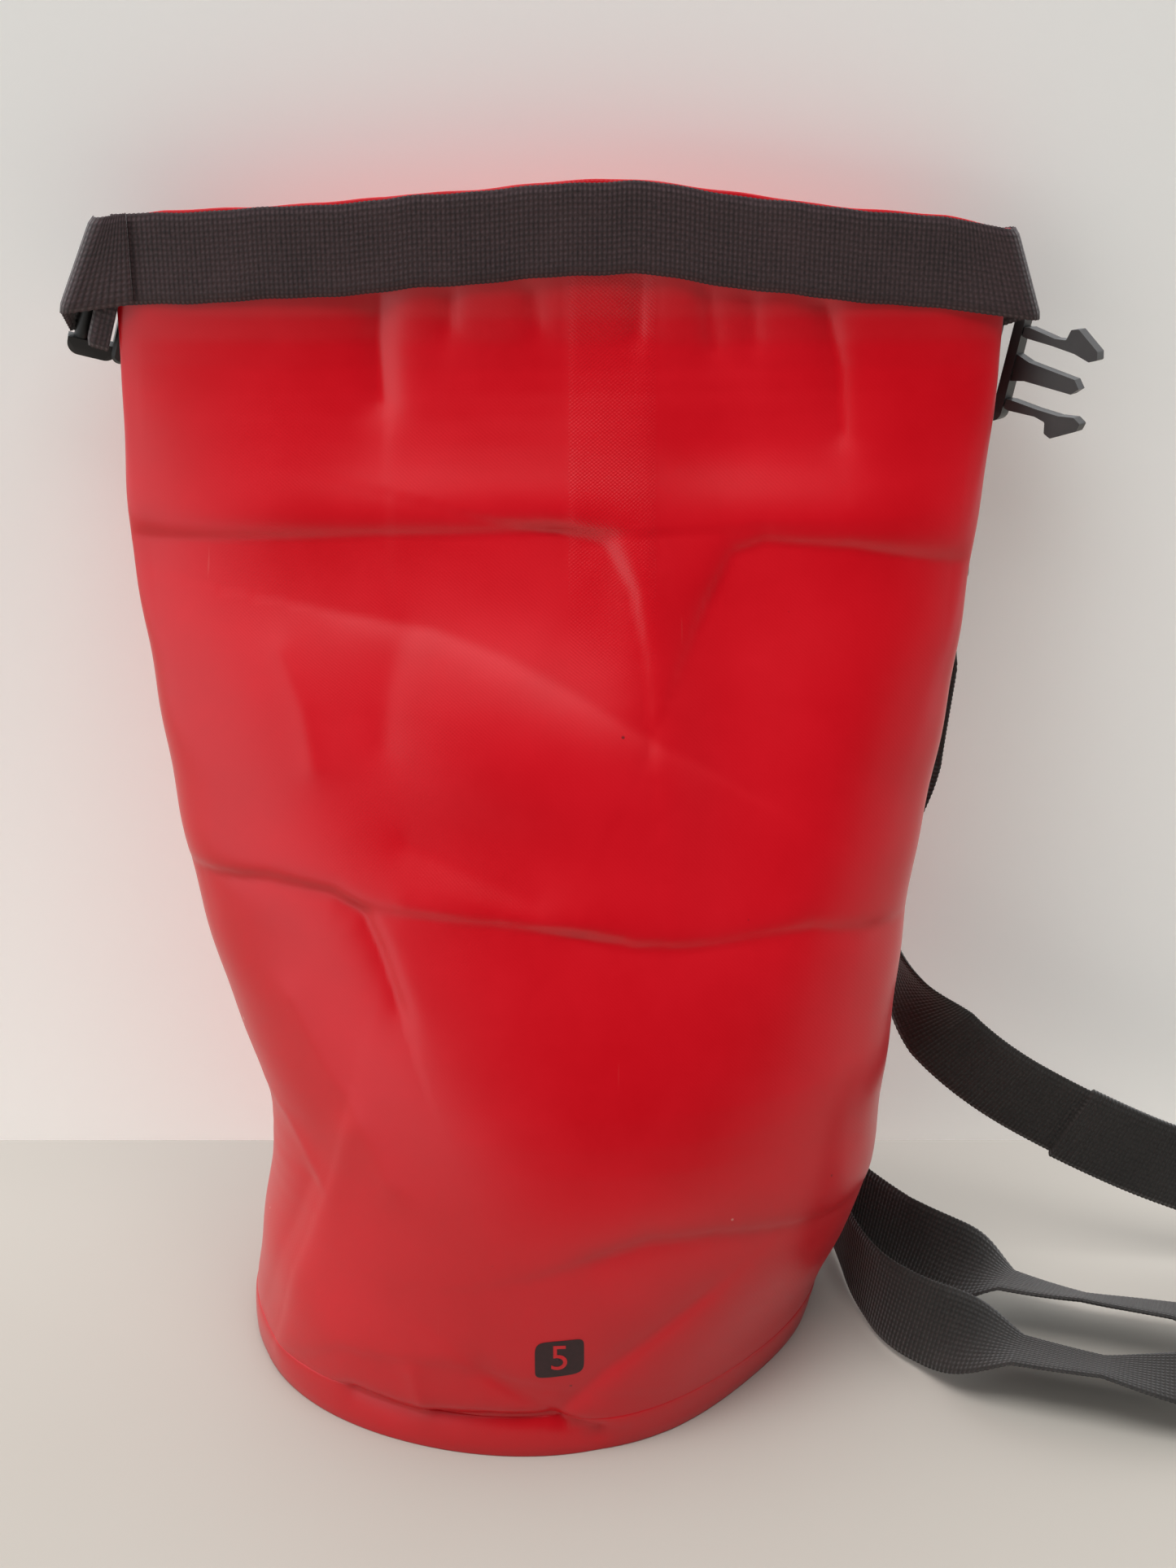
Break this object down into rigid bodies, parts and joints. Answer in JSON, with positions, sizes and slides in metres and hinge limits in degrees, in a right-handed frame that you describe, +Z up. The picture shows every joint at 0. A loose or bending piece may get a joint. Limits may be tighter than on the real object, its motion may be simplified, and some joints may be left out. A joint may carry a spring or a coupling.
{
  "type": "dry bag",
  "caption": "Roll-top dry bag standing empty with its mouth unrolled, with webbing closure strip, side-release buckle, rear rings and a shoulder strap.",
  "frame": {"origin": "on the ground under the middle of the foot", "axes": "+Z up, the printed front faces -Y, +X to the right seen from the front"},
  "size_m": [0.4748, 0.1537, 0.3374],
  "materials": {
    "tarpaulin": "satin PVC coating over a fine scrim",
    "webbing": "ribbed polyester webbing",
    "strap_webbing": "polyester webbing",
    "acetal": "moulded satin",
    "stiffener_plastic": "sheet polyethylene"
  },
  "bodies": {
    "bag": {"base_disc": "tarpaulin", "base_rim": "tarpaulin", "front_wall": "tarpaulin", "back_wall": "tarpaulin", "upper_patch": "tarpaulin", "lower_patch": "tarpaulin", "upper_anchor": "webbing", "lower_anchor": "webbing", "strap_main": "strap_webbing", "strap_return": "strap_webbing", "strap_slider": "acetal"},
    "mouth": {"front_hem": "tarpaulin", "back_hem": "tarpaulin", "stiffener": "stiffener_plastic", "closure_webbing": "webbing", "left_tab": "webbing", "right_tab": "webbing", "male_strap": "webbing"},
    "socket_half": {"female_buckle": "acetal"},
    "plug_half": {"male_buckle": "acetal"},
    "prong_up": {"upper_prong": "acetal"},
    "prong_down": {"lower_prong": "acetal"},
    "ring_top": {"upper_ring": "acetal", "strap_upper_loop": "strap_webbing"},
    "ring_low": {"lower_ring": "acetal", "strap_lower_loop": "strap_webbing"}
  },
  "joints": [
    {"name": "closure_roll", "type": "hinge", "parent": "bag", "child": "mouth", "pos_m": [0.0132, 0.042, 0.291], "axis": [1, 0, 0], "range_deg": [0, 150]},
    {"name": "female_swing", "type": "hinge", "parent": "mouth", "child": "socket_half", "pos_m": [-0.1205, 0.0585, 0.3022], "axis": [0.2924, 0, 0.9563], "range_deg": [0, 140]},
    {"name": "male_swing", "type": "hinge", "parent": "mouth", "child": "plug_half", "pos_m": [0.136, 0.0685, 0.2815], "axis": [0.1736, 0, 0.9848], "range_deg": [-10, 100]},
    {"name": "upper_prong_flex", "type": "hinge", "parent": "plug_half", "child": "prong_up", "pos_m": [0.14889, 0.06008, 0.29019], "axis": [0.5927, 0.7986, -0.1045], "range_deg": [0, 9], "stiffness_Nm_per_rad": 0.8},
    {"name": "lower_prong_flex", "type": "hinge", "parent": "plug_half", "child": "prong_down", "pos_m": [0.14514, 0.06008, 0.26892], "axis": [-0.5927, -0.7986, 0.1045], "range_deg": [0, 9], "stiffness_Nm_per_rad": 0.8},
    {"name": "upper_ring_swing", "type": "hinge", "parent": "bag", "child": "ring_top", "pos_m": [0.118, 0.0575, 0.23], "axis": [0.9205, -0.3907, 0], "range_deg": [0, 60]},
    {"name": "lower_ring_swing", "type": "hinge", "parent": "bag", "child": "ring_low", "pos_m": [0.09, 0.045, 0.059], "axis": [0.7431, -0.6691, 0], "range_deg": [0, 60]}
  ]
}
